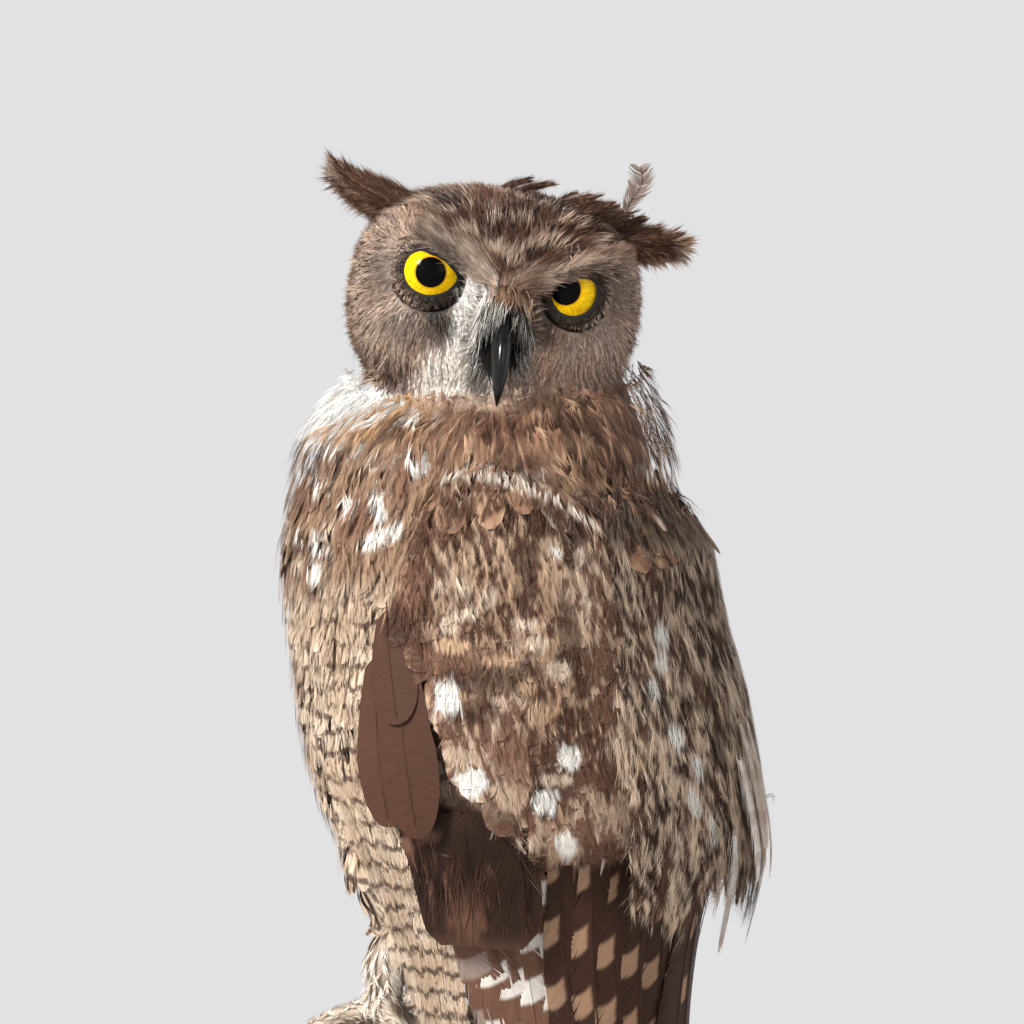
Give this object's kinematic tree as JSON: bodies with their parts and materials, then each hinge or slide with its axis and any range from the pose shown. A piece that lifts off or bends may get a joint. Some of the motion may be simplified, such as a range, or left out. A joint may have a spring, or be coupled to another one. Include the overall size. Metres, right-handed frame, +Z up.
{
  "type": "taxidermy owl",
  "caption": "Spotted eagle-owl mounted upright with its head turned over its shoulder, gripping a cut branch on a rod stand with a round base.",
  "frame": {"origin": "centre of the round base's underside, on the surface that the stand rests on", "axes": "+Z up along the standing bird, -Y the way its body faces, +X towards its own left side"},
  "size_m": [0.192, 0.192, 0.4808],
  "materials": {
    "plumage": "soft overlapping contour feathers, brown, buff and white, blotched above and finely barred below",
    "facial_disc": "fine hair-like disc feathers, grey-brown, mottled, with a dark speckled rim",
    "wing_coverts": "rounded vaned coverts and scapulars, brown with buff vermiculation and white spots",
    "flight_feathers": "long stiff vaned quills with a shaft, dark brown with buff and white bars",
    "leg_down": "short cream down with small dark specks, over legs and toes",
    "bill": "black polished horn with fine growth lines",
    "claws": "black horn, glossy along the ridge",
    "glass_eye": "glass eye with a yellow radially streaked iris and a black pupil",
    "bark": "furrowed bark with sawn ends",
    "rod": "satin black painted steel",
    "base_wood": "turned dark hardwood, satin varnish"
  },
  "bodies": {
    "root": {"head": "facial_disc", "neck": "plumage", "trunk": "plumage", "tail": "flight_feathers", "bill_upper": "bill", "bill_lower": "bill", "eye_left": "glass_eye", "ear_tuft_left": "plumage", "wing_left_arm": "wing_coverts", "wing_left_scapulars": "wing_coverts", "wing_left_secondaries": "flight_feathers", "wing_left_primaries": "flight_feathers", "leg_left_thigh": "leg_down", "leg_left_tarsus": "leg_down", "toe_left_1": "leg_down", "toe_left_2": "leg_down", "toe_left_3": "leg_down", "toe_left_4": "leg_down", "claw_left_1": "claws", "claw_left_2": "claws", "claw_left_3": "claws", "claw_left_4": "claws", "eye_right": "glass_eye", "ear_tuft_right": "plumage", "wing_right_arm": "wing_coverts", "wing_right_scapulars": "wing_coverts", "wing_right_secondaries": "flight_feathers", "wing_right_primaries": "flight_feathers", "leg_right_thigh": "leg_down", "leg_right_tarsus": "leg_down", "toe_right_1": "leg_down", "toe_right_2": "leg_down", "toe_right_3": "leg_down", "toe_right_4": "leg_down", "claw_right_1": "claws", "claw_right_2": "claws", "claw_right_3": "claws", "claw_right_4": "claws", "stand_perch": "bark", "stand_rod_right": "rod", "stand_rod_left": "rod", "stand_base": "base_wood"}
  },
  "joints": []
}
